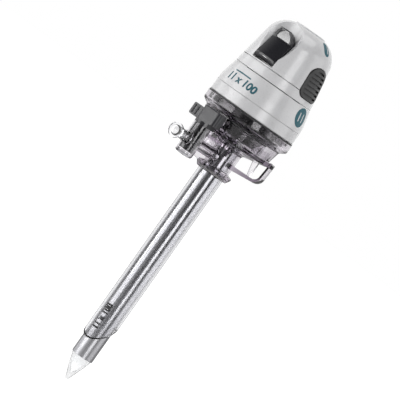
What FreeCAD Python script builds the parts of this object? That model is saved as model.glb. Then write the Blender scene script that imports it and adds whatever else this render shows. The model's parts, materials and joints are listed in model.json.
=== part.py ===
import FreeCAD, Part

import math
import os

from FreeCAD import Vector

# A laparoscopic trocar: an obturator with a domed handle, locked into a cannula.
# Lengths are in millimetres. The origin is on the cannula's axis, at the mouth of the hub where the
# sleeve comes out. +Z runs up to the handle and -Y is the front, where the stopcock and the lever are.
# A heading is measured in degrees from the front (-Y) towards +X.

# Running and seating clearances
SHAFT_GAP = 0.25
PIN_GAP = 0.06
FIT_GAP = 0.05
SEAT_GAP = 0.1
SEAM = 0.3
WINDOW_GAP = 0.35

# Clear sleeve, cut off at 45 degrees with its long side to the front
SLEEVE_R = 7.0
SLEEVE_WALL = 0.9
WORKING_LENGTH = 99.0
BEVEL_ANGLE = 45.0
SPIGOT_STEP = 0.3
SPIGOT_LENGTH = 5.5
SLEEVE_RING_R = 0.6

# Obturator shaft and its pointed tip
SHAFT_WALL = 0.6
SHAFT_REACH = 9.6
SHAFT_SHOULDER = 0.3
SHAFT_FLANGE_R = 8.2
SHAFT_FLANGE = 1.4
TIP_LENGTH = 13.4
TIP_POINT_R = 0.8
TIP_BASE_DROP = 0.35
TIP_BELLY_R = 3.75
TIP_BELLY_DROP = 5.6
TIP_BELLY_ROUND = 16.0
TIP_WALL = 0.8
TIP_FLAT_ANGLE = 20.0
TIP_SPIGOT = 4.0

# Valve housing: hub, floor, bowl and rim
HUB_WALL = 0.85
FLARE_R = 10.0
FLARE_HEIGHT = 2.6
FLARE_EDGE = 0.8
FLOOR_Z = 18.0
FLOOR = 2.2
FLOOR_CONE = 2.4
BOWL_FLOOR_R = 20.0
BOWL_EDGE = 3.3
BOWL_CONE = 7.5
BOWL_TOP_INSET = 3.2
BOWL_SHOULDER = 1.8
LEDGE_RISE = 0.6
RIM = 4.6
RIM_R = 24.5
RIM_WALL = 1.6
RIM_STEP = 0.4
FUNNEL_R = 8.8
SEAT_R = 14.5
SEAT_WALL = 1.5
SEAT_HEIGHT = 6.0
RIB = 0.8
RIB_COUNT = 12
FRONT_RIB_HEADING = 40.0
FRONT_RIB = 1.2
FRONT_RIB_DROP = 7.2
FRONT_PAD_WIDTH = 4.4
FRONT_PAD_HEIGHT = 5.8
FRONT_PAD_RISE = 2.0
FRONT_PAD_PROUD = 0.7
FRONT_BOSS_R = 1.45
LUG_SWEEP = 22.0
LUG_HEIGHT = 1.2
LUG_OVERLAP = 0.5
LUG_COUNT = 4

# Finger wings at both sides of the valve housing, with a front edge that runs back
WING_INSET = 0.8
WING_HUB_HEADING = 77.0
WING_START = 100.0
WING_END = 145.0
WING_WALL = 1.0
WING_TAPER = 0.8
WING_PLATE = 2.4
WING_PLATE_EDGE = 1.2
WING_DROP = 11.0
WING_RISE = 1.6
WING_TOP_RISE = 0.7
WING_CORNER = 4.0
WING_WEB_HEADING = 98.0
WING_WEB_R = 17.7
WING_WEB_TOP = 3.6
WING_WEB_FOOT = 1.4

# Valve parts in the bowl
DUCKBILL_WALL = 0.8
DUCKBILL_FLANGE = 1.1
DUCKBILL_DEPTH = 6.6
DUCKBILL_MOUTH_WIDE = 10.2
DUCKBILL_MOUTH_DEEP = 7.4
RETAINER = 1.4
RETAINER_STEP = 0.8
RETAINER_INSET = 3.9
RETAINER_BORE_R = 9.5
GASKET = 0.7
GASKET_SQUEEZE = 0.15
DETENT_PAD = 1.0
DETENT_PAD_RIBS = 3
DETENT_GROOVE = 0.6

# Stopcock on the front of the housing
BARREL_Y = -29.2
BARREL_R = 4.7
BARREL_WALL = 0.65
BARREL_LOW = 1.8
BARREL_TOP = 17.3
PORT_Z = 8.7
GAS_R = 1.2
DUCT_R = 3.0
BRIDGE_WIDTH = 9.0
BRIDGE_PLATE = 1.6
BRIDGE_DROP = 1.6
BRIDGE_WEB = 1.8
BRIDGE_LOW = 4.4
BRIDGE_FOOT = 1.4
BRIDGE_TIE_R = 16.0
END_CAP_DROP = 1.4
END_CAP_STUB = 1.0
PLUG_RISE = 1.4
KEY_HEAD = 9.4
KEY_HEAD_RIGHT = 8.0
KEY_HEAD_LEFT = 3.4
KEY_HEAD_DEPTH = 7.2
KEY_HEAD_EDGE = 0.7
KEY_UNDERCUT = 2.2
KEY_TAB_REACH = 9.7
KEY_TAB_DEPTH = 4.8
KEY_TAB_RISE = 1.3
KEY_TAB = 6.1
KEY_RIDGE = 0.45
KEY_SWEEP_GAP = 0.5

# Luer fitting
BOSS_R = 3.3
BOSS_LENGTH = 1.5
LUER_NECK_R = 2.7
LUER_FLANGE_R = 3.85
LUER_FLANGE = 1.5
LUER_LENGTH = 10.4
LUER_BORE_R = 2.1
LUER_BORE_DEPTH = 7.5
LUER_SPIGOT_R = 1.9
LUER_SPIGOT = 1.5

# Seal cap: lock ring below, shell above
CAP_INSET = 0.4
LOCK_BAND = 5.85
CAP_SHELL = 12.15
CAP_DRAFT = 2.15
CAP_WALL = 1.8
CAP_STEP = 0.5
CAP_PLATE = 2.2
CAP_MOUTH_R = 8.9
SKIRT_INSET = 2.3
SKIRT_WALL = 1.2
SKIRT_DROP = 3.2
LEDGE = 2.0

# Seal stack in the seal cap
STACK_R = 13.3
STACK_BORE_R = 9.9
STACK_DROP = 4.65
STACK_SKIRT = 0.8
CROWN = 1.0
PETAL = 0.7
PETAL_COUNT = 4
PETAL_SLIT = 0.6
PETAL_MOUTH_R = 7.0
SEAL = 0.8
SEAL_DROP = 3.9
BELLOWS = 0.6
BELLOWS_FLANGE = 1.0
BELLOWS_FOOT = 1.9
BELLOWS_TROUGH = 3.2
BELLOWS_CREST = 2.6

# Handle: base collar, domed cap and scope guide
COLLAR = 5.35
HEAD_DRAFT = 0.95
HEAD_RISE = 24.0
CROWN_RISE = 3.8
SHOULDER_R = 16.9
SHOULDER_ROUND = 12.0
HEAD_WALL = 1.8
BASE_PLATE = 1.9
BASE_SPIGOT_R = 8.5
BASE_SPIGOT = 3.1
GUIDE_R = 8.4
GUIDE_HEIGHT = 3.0
GUIDE_SINK = 1.4
GUIDE_BORE_R = 5.4
TUBE_WALL = 1.5
CLAMP_R = 10.5
CLAMP_EAR_R = 1.6
CLAMP_HEIGHT = 2.0

# Scoop in the front of the dome: an egg that leans back with the lever
SCOOP_R = 13.0
SCOOP_HALF_LENGTH = 20.0
SCOOP_Y = -25.3
SCOOP_RISE = 16.6
SCOOP_LEAN = 19.6

# Scope lock lever
LEVER_WIDTH = 12.7
LEVER_RISE = 1.4
LEVER_LENGTH = 18.7
LEVER_LEAN = 20.5
LEVER_LOW_Y = -21.4
LEVER_KNUCKLE_R = 2.7
LEVER_EDGE_R = 2.2
LEVER_THICK = 3.4
LEVER_BEND = 13.6
LEVER_LIP = 0.9
LEVER_TIP_THICK = 2.4
LEVER_TIP_ROUND = 5.4
LEVER_PIN_R = 0.9
LEVER_DISH_WIDTH = 8.6
LEVER_DISH = 4.6
LEVER_DISH_DEPTH = 0.7
LEVER_DISH_RIM = 0.9
POCKET_DEPTH = 0.8
POCKET_WALL = 1.2
PAD_WIDTH = 5.2
PAD_HEIGHT = 3.4

# Release buttons at both sides
BUTTON_LOW_WIDTH = 16.0
BUTTON_TOP_WIDTH = 12.9
BUTTON_DROP = 2.25
BUTTON_HEIGHT = 16.2
BUTTON_TOP_ROUND = 6.0
BUTTON_LOW_ROUND = 3.0
BUTTON_PROUD = 0.6
BUTTON_DEPTH = 3.0
BUTTON_LIP = 0.9
BUTTON_TRAVEL = 1.5
BUTTON_RIDGES = 6
BUTTON_GROOVE = 0.9
BUTTON_BORDER = 1.3
ARM_X = 15.5
ARM_THICK = 1.6
ARM_WIDTH = 4.8
ARM_DROP = 4.35
ARM_RISE = 6.0
NOSE = 0.8
NOSE_HEIGHT = 1.6
SPRING_STRIP = 0.4
SPRING_WIDTH = 4.0
SPRING_RISE = 6.5
SPRING_HEIGHT = 5.0

# Radii that follow from the ones above
BORE_R = SLEEVE_R - SLEEVE_WALL
SHAFT_R = BORE_R - SHAFT_GAP
SPIGOT_R = SLEEVE_R - SPIGOT_STEP
HUB_R = SPIGOT_R + FIT_GAP + HUB_WALL
PASSAGE_R = BORE_R + SPIGOT_STEP
RIM_INNER_R = RIM_R - RIM_WALL
BOWL_INNER_R = BOWL_FLOOR_R - RIM_WALL + 0.2
BOWL_TOP_R = RIM_R - BOWL_TOP_INSET
WING_R = RIM_R - WING_INSET
RETAINER_R = RIM_INNER_R - RETAINER_INSET
BARREL_BORE_R = BARREL_R - BARREL_WALL
CAP_R = RIM_R - CAP_INSET
CAP_TOP_R = CAP_R - CAP_DRAFT
SKIRT_R = RIM_INNER_R - SKIRT_INSET
BASE_LOW_R = CAP_TOP_R - SEAT_GAP
HEAD_SEAM_R = BASE_LOW_R - HEAD_DRAFT
TUBE_R = GUIDE_R + TUBE_WALL

# Heights that follow, from the tip up to the crown
SHAFT_END_Z = -WORKING_LENGTH - SHAFT_REACH
TIP_Z = SHAFT_END_Z - TIP_LENGTH
WING_LOW = FLOOR_Z - WING_DROP
FLOOR_TOP = FLOOR_Z + FLOOR
HUB_TOP = FLOOR_Z - FLOOR_CONE
BOWL_EDGE_Z = FLOOR_Z + BOWL_EDGE
RIM_Z = BOWL_EDGE_Z + BOWL_CONE
RIM_TOP = RIM_Z + RIM
SEAT_TOP = FLOOR_TOP + SEAT_HEIGHT
DUCKBILL_TOP = SEAT_TOP + DUCKBILL_FLANGE
KEY_HEAD_LOW = BARREL_TOP + SEAM / 2
KEY_HEAD_TOP = KEY_HEAD_LOW + KEY_HEAD
SKIRT_LOW = RIM_TOP - SKIRT_DROP
CAP_LOW = RIM_TOP + GASKET + GASKET_SQUEEZE
LEDGE_Z = CAP_LOW + LEDGE
CAP_SEAM_Z = CAP_LOW + LOCK_BAND
CAP_TOP = CAP_SEAM_Z + CAP_SHELL
STACK_TOP = CAP_TOP - STACK_DROP
ARM_LOW = CAP_TOP - ARM_DROP
BASE_LOW = CAP_TOP + SEAM
PLATE_TOP = BASE_LOW + BASE_PLATE
FLANGE_TOP = PLATE_TOP + SHAFT_FLANGE
HEAD_SEAM_Z = BASE_LOW + COLLAR
BASE_TOP = HEAD_SEAM_Z - SEAM
SHOULDER_Z = HEAD_SEAM_Z + HEAD_RISE
CROWN_Z = SHOULDER_Z + CROWN_RISE
SCOOP_Z = HEAD_SEAM_Z + SCOOP_RISE
BUTTON_LOW = HEAD_SEAM_Z - BUTTON_DROP
BUTTON_TOP = BUTTON_LOW + BUTTON_HEIGHT
SPRING_LOW = HEAD_SEAM_Z + SPRING_RISE
SPRING_TOP = SPRING_LOW + SPRING_HEIGHT

# The lever's hinge and its pocket
LEVER_LOW = HEAD_SEAM_Z + LEVER_RISE
LEVER_TOP = LEVER_LOW + LEVER_LENGTH
LEAN_TAN = math.tan(math.radians(LEVER_LEAN))
LEAN_COS = math.cos(math.radians(LEVER_LEAN))
LEVER_BEND_Z = LEVER_LOW + LEVER_BEND
PIN_Z = LEVER_LOW + LEVER_KNUCKLE_R
PIN_Y = LEVER_LOW_Y + LEVER_KNUCKLE_R * LEAN_TAN + LEVER_KNUCKLE_R / LEAN_COS
POCKET_BACK_Y = PIN_Y + LEVER_KNUCKLE_R + SEAM
POCKET_FLOOR_Z = LEVER_LOW - POCKET_DEPTH
TUBE_LOW = PIN_Z + PAD_HEIGHT / 2 + SEAM


def lever_face_y(z):
    """Where the lever's outer face stands at height z, up to its bend."""
    return LEVER_LOW_Y + (z - LEVER_LOW) * LEAN_TAN


def rounded_face(corners, place):
    """A flat face through corners (a, b, radius), each rounded, with place(a, b) giving the point."""
    spans = []
    for index, (a, b, radius) in enumerate(corners):
        here = Vector(a, b, 0)
        to_last = Vector(*corners[index - 1][:2], 0) - here
        to_next = Vector(*corners[(index + 1) % len(corners)][:2], 0) - here
        if radius == 0:
            spans.append((here, None, here))
            continue
        half_angle = to_last.getAngle(to_next) / 2
        to_last.normalize()
        to_next.normalize()
        reach = radius / math.tan(half_angle)
        inward = (to_last + to_next).normalize()
        middle = here + inward * (radius / math.sin(half_angle) - radius)
        spans.append((here + to_last * reach, middle, here + to_next * reach))

    edges = []
    for index, (start, middle, end) in enumerate(spans):
        if middle is not None:
            points = [place(point.x, point.y) for point in (start, middle, end)]
            edges.append(Part.Arc(*points).toShape())
        after = spans[(index + 1) % len(spans)][0]
        if (after - end).Length > 1e-6:
            edges.append(Part.makeLine(place(end.x, end.y), place(after.x, after.y)))
    return Part.Face(Part.Wire(edges))


def spin(corners, start=0.0, sweep=360.0):
    """Turn a profile of (radius, z, round) about Z, from one heading over a sweep."""
    face = rounded_face(corners, lambda r, z: Vector(r, 0, z))
    solid = face.revolve(Vector(0, 0, 0), Vector(0, 0, 1), sweep)
    solid.rotate(Vector(0, 0, 0), Vector(0, 0, 1), start - 90.0)
    return solid


def along_x(corners, x_low, x_high):
    face = rounded_face(corners, lambda y, z: Vector(x_low, y, z))
    return face.extrude(Vector(x_high - x_low, 0, 0))


def along_y(corners, y_low, y_high):
    face = rounded_face(corners, lambda x, z: Vector(x, y_low, z))
    return face.extrude(Vector(0, y_high - y_low, 0))


def along_z(corners, z_low, z_high):
    face = rounded_face(corners, lambda x, y: Vector(x, y, z_low))
    return face.extrude(Vector(0, 0, z_high - z_low))


def rectangle(low_a, high_a, low_b, high_b, radius=0.0):
    return [
        (low_a, low_b, radius),
        (high_a, low_b, radius),
        (high_a, high_b, radius),
        (low_a, high_b, radius),
    ]


def box(x, y, z):
    size = [high - low for low, high in (x, y, z)]
    return Part.makeBox(*size, Vector(x[0], y[0], z[0]))


def rod(radius, start, end):
    return Part.makeCylinder(radius, (end - start).Length, start, end - start)


def ring(inner_r, outer_r, z_low, z_high, round_r=0.0):
    return spin(rectangle(inner_r, outer_r, z_low, z_high, round_r))


def turned(shape, heading):
    """A copy of a shape drawn at heading 0, turned to another heading."""
    copy = shape.copy()
    copy.rotate(Vector(0, 0, 0), Vector(0, 0, 1), heading)
    return copy


def mirrored(shape):
    """The twin of a shape at the other side of the YZ plane."""
    return shape.mirror(Vector(0, 0, 0), Vector(1, 0, 0))


def fused(shapes):
    return shapes[0].multiFuse(shapes[1:]).removeSplitter()


def head_solid(inset=0.0):
    """The handle's outer form, collar and dome in one, moved inwards by inset."""
    return spin(
        [
            (0, BASE_LOW - SEAM, 0),
            (BASE_LOW_R - inset, BASE_LOW - SEAM, 0),
            (HEAD_SEAM_R - inset, HEAD_SEAM_Z, 0),
            (SHOULDER_R - inset, SHOULDER_Z - inset, SHOULDER_ROUND - inset),
            (0, CROWN_Z - inset, 0),
        ]
    )


def scoop_egg(grown=0.0):
    """The egg that hollows the dome above the lever: half an ellipse, turned about its long axis."""
    half_length = SCOOP_HALF_LENGTH + grown
    ellipse = Part.Ellipse(Vector(0, 0, 0), half_length, SCOOP_R + grown)
    arc = ellipse.toShape(0, math.pi)
    axis = Part.makeLine(Vector(-half_length, 0, 0), Vector(half_length, 0, 0))
    egg = Part.Face(Part.Wire([arc, axis])).revolve(Vector(0, 0, 0), Vector(1, 0, 0), 360)
    egg.rotate(Vector(0, 0, 0), Vector(0, 1, 0), -90)
    egg.rotate(Vector(0, 0, 0), Vector(1, 0, 0), -SCOOP_LEAN)
    egg.translate(Vector(0, SCOOP_Y, SCOOP_Z))
    return egg


def lever_pocket(grown=0.0):
    """The slot in the dome that holds the lever."""
    front = -BASE_LOW_R - grown - 3.0
    back_y = POCKET_BACK_Y + grown
    bend_y = lever_face_y(LEVER_BEND_Z) + LEVER_THICK + SEAM + grown
    top = LEVER_TOP + grown
    half = LEVER_WIDTH / 2 + WINDOW_GAP + grown
    side = [
        (front, POCKET_FLOOR_Z - grown, 0),
        (back_y, POCKET_FLOOR_Z - grown, 0),
        (back_y, PIN_Z + LEVER_KNUCKLE_R + SEAM, 0),
        (bend_y, LEVER_BEND_Z - 1, 0),
        (bend_y, top, 0),
        (front, top, 0),
    ]
    return along_x(side, -half, half)


def button_window(grown=0.0, proud=3.0):
    """The outline of a release button, as a prism that runs out along +X."""
    low_half = BUTTON_LOW_WIDTH / 2 + grown
    top_half = BUTTON_TOP_WIDTH / 2 + grown
    low = BUTTON_LOW - grown
    top = BUTTON_TOP + grown
    outline = [
        (-low_half, low, BUTTON_LOW_ROUND + grown),
        (low_half, low, BUTTON_LOW_ROUND + grown),
        (top_half, top, BUTTON_TOP_ROUND + grown),
        (-top_half, top, BUTTON_TOP_ROUND + grown),
    ]
    return along_x(outline, ARM_X - proud, BASE_LOW_R + proud)


def sleeve():
    top = SPIGOT_LENGTH
    tube = fused(
        [
            rod(SLEEVE_R, Vector(0, 0, -WORKING_LENGTH), Vector(0, 0, 0)),
            rod(SPIGOT_R, Vector(0, 0, 0), Vector(0, 0, top)),
        ]
    )
    bore = rod(BORE_R, Vector(0, 0, -WORKING_LENGTH - 1), Vector(0, 0, top + 1))
    slope = math.tan(math.radians(BEVEL_ANGLE))
    reach = SLEEVE_R + 2
    low = -WORKING_LENGTH - 2 * slope
    high = low + 2 * reach * slope
    bevel = along_x([(-reach, low, 0), (reach, low, 0), (reach, high, 0)], -reach, reach)
    return tube.cut([bore, bevel])


def sleeve_ring():
    centre_r = HUB_R - HUB_WALL + SLEEVE_RING_R
    circle = Part.makeCircle(SLEEVE_RING_R, Vector(centre_r, 0, FLARE_HEIGHT / 2), Vector(0, 1, 0))
    return Part.Face(Part.Wire(circle)).revolve(Vector(0, 0, 0), Vector(0, 0, 1), 360)


def housing_outside():
    return spin(
        [
            (0, 0, 0),
            (HUB_R + FLARE_EDGE, 0, 0.3),
            (FLARE_R, FLARE_HEIGHT, 0.3),
            (FLARE_R, FLARE_HEIGHT + FLARE_EDGE, 0.2),
            (HUB_R, FLARE_HEIGHT + 2 * FLARE_EDGE, 0.6),
            (HUB_R, HUB_TOP, 1.5),
            (BOWL_FLOOR_R, FLOOR_Z, 0.8),
            (BOWL_FLOOR_R, BOWL_EDGE_Z, 2.0),
            (BOWL_TOP_R, RIM_Z - BOWL_SHOULDER, 0.8),
            (RIM_R - RIM_STEP, RIM_Z, 0.8),
            (RIM_R, RIM_Z + 1.0, 0.5),
            (RIM_R, RIM_TOP, 0.3),
            (0, RIM_TOP, 0),
        ]
    )


def housing_cavity():
    bowl = spin(
        [
            (0, HUB_TOP + FLOOR, 0),
            (HUB_R, HUB_TOP + FLOOR, 1.0),
            (BOWL_FLOOR_R - RIM_WALL, FLOOR_TOP, 0.6),
            (BOWL_INNER_R, BOWL_EDGE_Z, 2.0),
            (BOWL_TOP_R - RIM_WALL, RIM_Z - BOWL_SHOULDER + LEDGE_RISE, 0.6),
            (RIM_INNER_R - RIM_STEP, RIM_Z + LEDGE_RISE, 0.5),
            (RIM_INNER_R, RIM_Z + LEDGE_RISE + 0.8, 0.3),
            (RIM_INNER_R, RIM_TOP + 1, 0),
            (0, RIM_TOP + 1, 0),
        ]
    )
    return bowl.cut(key_clearance(RIM_WALL))


def key_clearance(grown=0.0):
    """The round hollow in the front of the bowl that lets the stopcock's head turn."""
    sweep_r = math.hypot(KEY_HEAD_RIGHT, KEY_HEAD_DEPTH / 2) + KEY_SWEEP_GAP + grown
    low = Vector(0, BARREL_Y, BARREL_TOP - grown)
    return rod(sweep_r, low, Vector(0, BARREL_Y, KEY_HEAD_TOP + KEY_SWEEP_GAP + grown))


def wing():
    """One finger wing: a lower plate that turns up into the outer wall, a top plate and a tapered web."""
    foot_r = WING_R - WING_TAPER
    foot_z = WING_LOW + WING_RISE
    plate_top = foot_z + WING_PLATE_EDGE
    root_r = HUB_R - 0.3
    wall_top = FLOOR_TOP + WING_TOP_RISE
    sweep = WING_END - WING_HUB_HEADING
    frame = spin(
        [
            (root_r, WING_LOW, 0),
            (foot_r, foot_z, WING_CORNER),
            (WING_R, wall_top, 0.5),
            (WING_R - WING_WALL, wall_top, 0),
            (foot_r - WING_WALL, plate_top, WING_CORNER - WING_WALL),
            (root_r, WING_LOW + WING_PLATE, 0),
        ],
        WING_HUB_HEADING,
        sweep,
    )
    plate = [
        (BOWL_FLOOR_R - 1, FLOOR_Z - 0.1, 0),
        (WING_R - WING_WALL / 2, FLOOR_Z + WING_TOP_RISE, 0),
        (WING_R - WING_WALL / 2, wall_top, 0),
        (BOWL_FLOOR_R - 1, FLOOR_TOP, 0),
    ]
    top_plate = spin(plate, WING_HUB_HEADING, sweep)
    hub_turn = math.radians(WING_HUB_HEADING)
    wall_turn = math.radians(WING_START)
    hub_point = Vector(math.sin(hub_turn), -math.cos(hub_turn), 0) * HUB_R
    wall_point = Vector(math.sin(wall_turn), -math.cos(wall_turn), 0) * (WING_R + 1)
    in_front = along_z(
        [
            (hub_point.x, hub_point.y, 0),
            (wall_point.x, wall_point.y, 0),
            (wall_point.x, -WING_R, 0),
            (hub_point.x, -WING_R, 0),
        ],
        WING_LOW - 1,
        wall_top + 1,
    )
    web = along_y(
        [
            (WING_WEB_R - WING_WEB_FOOT, foot_z, 0),
            (WING_WEB_R, foot_z, 0),
            (WING_WEB_R, FLOOR_Z, 0),
            (WING_WEB_R - WING_WEB_TOP, FLOOR_Z, 0),
        ],
        0,
        FRONT_RIB,
    )
    return [frame.cut(in_front), top_plate.cut(in_front), turned(web, WING_WEB_HEADING - 90.0)]


def front_rib_and_pad():
    """A gusset under the bowl, and the framed pad with a boss above it, drawn at the front."""
    gusset = along_x(
        [
            (-HUB_R + 0.4, FLOOR_Z - FRONT_RIB_DROP, 0),
            (-HUB_R + 0.4, FLOOR_Z + 1, 0),
            (-BOWL_FLOOR_R + 1, FLOOR_Z + 1, 0),
            (-BOWL_FLOOR_R + 1, FLOOR_Z - 0.5, 0),
        ],
        -FRONT_RIB / 2,
        FRONT_RIB / 2,
    )
    half = FRONT_PAD_WIDTH / 2
    centre_z = BOWL_EDGE_Z + FRONT_PAD_RISE
    pad_face = rectangle(-half, half, centre_z - FRONT_PAD_HEIGHT / 2, centre_z + FRONT_PAD_HEIGHT / 2, 0.6)
    pad = along_y(pad_face, -RIM_R, -BOWL_FLOOR_R + 1)
    skin = housing_outside().copy()
    skin.scale(1 + FRONT_PAD_PROUD / RIM_R, Vector(0, 0, centre_z))
    boss_front = -BOWL_TOP_R - FRONT_PAD_PROUD
    boss = rod(FRONT_BOSS_R, Vector(0, boss_front, centre_z), Vector(0, -BOWL_FLOOR_R + 1, centre_z))
    return [gusset, pad.common(skin), boss]


def stopcock_body():
    """The barrel, the bridge that carries it, and the duct and boss at the height of the port."""
    hub_y = -HUB_R + 0.4
    barrel_axis = (0, BARREL_Y)
    barrel = rod(BARREL_R, Vector(*barrel_axis, BARREL_LOW), Vector(*barrel_axis, BARREL_TOP))
    half = BRIDGE_WIDTH / 2
    plate_top = BARREL_TOP - BRIDGE_DROP
    plate_low = plate_top - BRIDGE_PLATE
    plate = box((-half, half), (BARREL_Y + 1, hub_y), (plate_low, plate_top))
    web_side = [
        (BARREL_Y + 1, BRIDGE_LOW, 0),
        (hub_y, BRIDGE_FOOT, 0),
        (hub_y, plate_top - 0.2, 0),
        (BARREL_Y + 1, plate_top - 0.2, 0),
    ]
    web = along_x(web_side, -BRIDGE_WEB / 2, BRIDGE_WEB / 2)
    duct = rod(DUCT_R, Vector(0, BARREL_Y + 1, PORT_Z), Vector(0, hub_y, PORT_Z))
    boss_y = BARREL_Y - BARREL_R - BOSS_LENGTH
    boss = rod(BOSS_R, Vector(0, boss_y, PORT_Z), Vector(0, BARREL_Y, PORT_Z))
    tie = box((-BRIDGE_WEB, BRIDGE_WEB), (-BRIDGE_TIE_R, hub_y), (plate_low, FLOOR_Z))
    return [barrel, plate, web, duct, boss, tie]


def valve_housing():
    rib_pair = front_rib_and_pad()
    outside = [housing_outside()]
    for shape in rib_pair:
        outside.append(turned(shape, FRONT_RIB_HEADING))
        outside.append(turned(shape, -FRONT_RIB_HEADING))
    outside += stopcock_body()
    for shape in wing():
        outside += [shape, mirrored(shape)]
    body = outside[0].multiFuse(outside[1:])

    boss_front = BARREL_Y - BARREL_R - BOSS_LENGTH
    barrel_low = Vector(0, BARREL_Y, BARREL_LOW - 1)
    hub_bore = SPIGOT_R + FIT_GAP
    hollows = [
        housing_cavity(),
        key_clearance(),
        rod(hub_bore, Vector(0, 0, -1), Vector(0, 0, SPIGOT_LENGTH + FIT_GAP)),
        rod(PASSAGE_R, Vector(0, 0, 0), Vector(0, 0, FLOOR_TOP + 1)),
        Part.makeCone(PASSAGE_R, FUNNEL_R, FLOOR, Vector(0, 0, HUB_TOP)),
        ring(hub_bore - 0.2, hub_bore + 2 * SLEEVE_RING_R, FLARE_HEIGHT / 2 - SLEEVE_RING_R,
             FLARE_HEIGHT / 2 + SLEEVE_RING_R),
        rod(BARREL_BORE_R, barrel_low, Vector(0, BARREL_Y, BARREL_TOP + 1)),
        rod(GAS_R, Vector(0, boss_front - 1, PORT_Z), Vector(0, 0, PORT_Z)),
        rod(LUER_SPIGOT_R + FIT_GAP, Vector(0, boss_front - 1, PORT_Z),
            Vector(0, boss_front + LUER_SPIGOT + FIT_GAP, PORT_Z)),
    ]
    body = body.cut(hollows)

    seat = ring(SEAT_R - SEAT_WALL, SEAT_R, FLOOR_Z, SEAT_TOP)
    ribs = []
    for count in range(RIB_COUNT):
        heading = (count + 0.5) * 360.0 / RIB_COUNT
        rib = box((-RIB / 2, RIB / 2), (-BOWL_FLOOR_R + 1, -SEAT_R + 0.3), (FLOOR_Z, SEAT_TOP - 1.5))
        ribs.append(turned(rib, heading))
    lug_inner = SKIRT_R + SEAM
    lug_low = SKIRT_LOW + LUG_HEIGHT + SEAM
    lugs = []
    for count in range(LUG_COUNT):
        centre = count * 360.0 / LUG_COUNT
        lug = rectangle(lug_inner, RIM_INNER_R + 0.4, lug_low, lug_low + LUG_HEIGHT)
        lugs.append(spin(lug, centre - LUG_SWEEP / 2, LUG_SWEEP))
    return fused([body, seat] + ribs + lugs)


def duckbill():
    """A rubber flange and a bill, held open by the shaft."""
    flange = ring(SEAT_R - SEAT_WALL - DUCKBILL_WALL - SEAT_GAP, SEAT_R, SEAT_TOP, DUCKBILL_TOP)
    top_r = SEAT_R - SEAT_WALL - SEAT_GAP
    mouth_at = Vector(0, 0, DUCKBILL_TOP - DUCKBILL_DEPTH)

    def bill(inset):
        top = Part.Wire(Part.makeCircle(top_r - inset, Vector(0, 0, DUCKBILL_TOP)))
        mouth = Part.Ellipse(mouth_at, DUCKBILL_MOUTH_WIDE - inset, DUCKBILL_MOUTH_DEEP - inset)
        return Part.makeLoft([top, Part.Wire(mouth.toShape())], True, True)

    return fused([bill(0).cut(bill(DUCKBILL_WALL)), flange.cut(bill(0))])


def duckbill_retainer():
    low = DUCKBILL_TOP + SEAT_GAP
    outer_r = RETAINER_R
    plate = spin(
        [
            (RETAINER_BORE_R, low, 0.3),
            (outer_r, low, 0.3),
            (outer_r, low + RETAINER, 0.3),
            (SEAT_R, low + RETAINER, 0),
            (SEAT_R - 1, low + RETAINER + RETAINER_STEP, 0.3),
            (RETAINER_BORE_R, low + RETAINER + RETAINER_STEP, 0.3),
        ]
    )
    return plate.cut(key_clearance(RIM_WALL + SEAM))


def rim_gasket():
    return ring(RIM_INNER_R + 0.1, RIM_R - 0.2, RIM_TOP, RIM_TOP + GASKET)


def detent_pads():
    """Two dark ribbed pads inside the rim, one at each front rib, that follow the bowl's wall."""
    ledge_z = RIM_Z + LEDGE_RISE
    ledge_r = RIM_INNER_R - RIM_STEP
    low = RIM_Z - LEDGE_RISE
    high = RIM_TOP - 0.2
    share = (ledge_z - low) / BOWL_SHOULDER
    low_r = ledge_r - share * (ledge_r - BOWL_TOP_R + RIM_WALL)
    wall = [(low_r, low), (ledge_r, ledge_z), (RIM_INNER_R, ledge_z + 0.8), (RIM_INNER_R, high)]
    outer = [(r - 2 * SEAT_GAP, z, 0) for r, z in wall]
    inner = [(r - 2 * SEAT_GAP - DETENT_PAD, z, 0) for r, z in wall]
    half = math.degrees(FRONT_PAD_WIDTH / 2 / RIM_INNER_R)
    pad = spin(outer + inner[::-1], -half, 2 * half)
    pitch = (high - low) / DETENT_PAD_RIBS
    for count in range(DETENT_PAD_RIBS - 1):
        middle = low + (count + 1) * pitch
        half_groove = DETENT_GROOVE / 2
        groove_r = RIM_INNER_R - DETENT_PAD + 0.1
        groove = rectangle(BOWL_INNER_R, groove_r, middle - half_groove, middle + half_groove)
        pad = pad.cut(spin(groove, -2 * half, 4 * half))
    return Part.makeCompound([turned(pad, FRONT_RIB_HEADING), turned(pad, -FRONT_RIB_HEADING)])


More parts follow.
